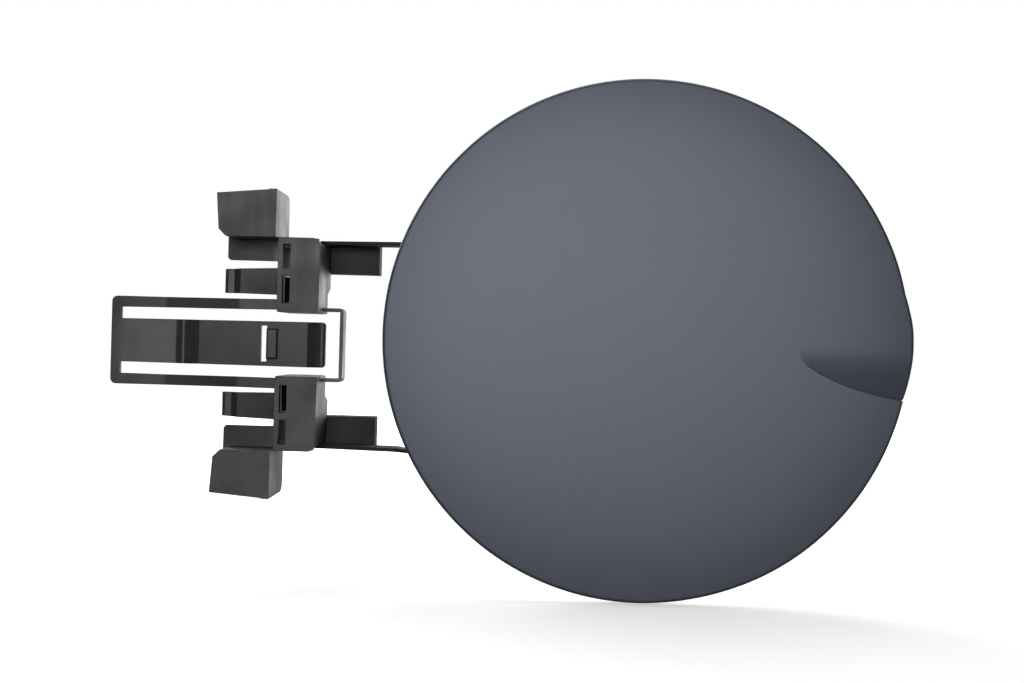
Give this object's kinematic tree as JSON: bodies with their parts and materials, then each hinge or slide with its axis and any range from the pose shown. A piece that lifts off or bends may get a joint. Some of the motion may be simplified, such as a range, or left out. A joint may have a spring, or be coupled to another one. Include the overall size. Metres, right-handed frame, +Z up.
{
  "type": "car fuel door",
  "caption": "Round car fuel door with a finger scoop, swung open on two hinge arms from a clip-in moulded hinge base with a latch tongue.",
  "frame": {"origin": "on the plane where the hinge base seats on the car body, level with the middle of the hinge", "axes": "+X out of the car body, +Y behind the open flap, +Z up along the hinge line; drawn with the flap fully open"},
  "size_m": [0.2602, 0.048, 0.1699],
  "materials": {
    "primed_skin": "satin slate-grey primer on a moulded skin",
    "black_plastic": "moulded black plastic, low sheen",
    "arm_plastic": "moulded black glass-filled plastic",
    "panel_plastic": "moulded black plastic, fine grain",
    "rubber": "matt black rubber",
    "spring_steel": "blued spring steel",
    "zinc_steel": "zinc-plated steel"
  },
  "bodies": {
    "base": {"hinge_base": "black_plastic", "upper_hinge_pin": "zinc_steel", "lower_hinge_pin": "zinc_steel", "upper_detent_spring": "spring_steel", "lower_detent_spring": "spring_steel"},
    "flap": {"door_skin": "primed_skin", "inner_panel": "panel_plastic", "hinge_arms": "arm_plastic", "upper_arm_screw": "zinc_steel", "lower_arm_screw": "zinc_steel", "lock_striker": "panel_plastic", "upper_striker_screw": "zinc_steel", "lower_striker_screw": "zinc_steel", "upper_bump_stop": "rubber", "lower_bump_stop": "rubber"}
  },
  "joints": [
    {"name": "flap_swing", "type": "hinge", "parent": "base", "child": "flap", "pos_m": [0.0104, 0.02, 0], "axis": [0, 0, 1], "range_deg": [0, 90], "deforming": ["upper_detent_spring", "lower_detent_spring"]}
  ]
}
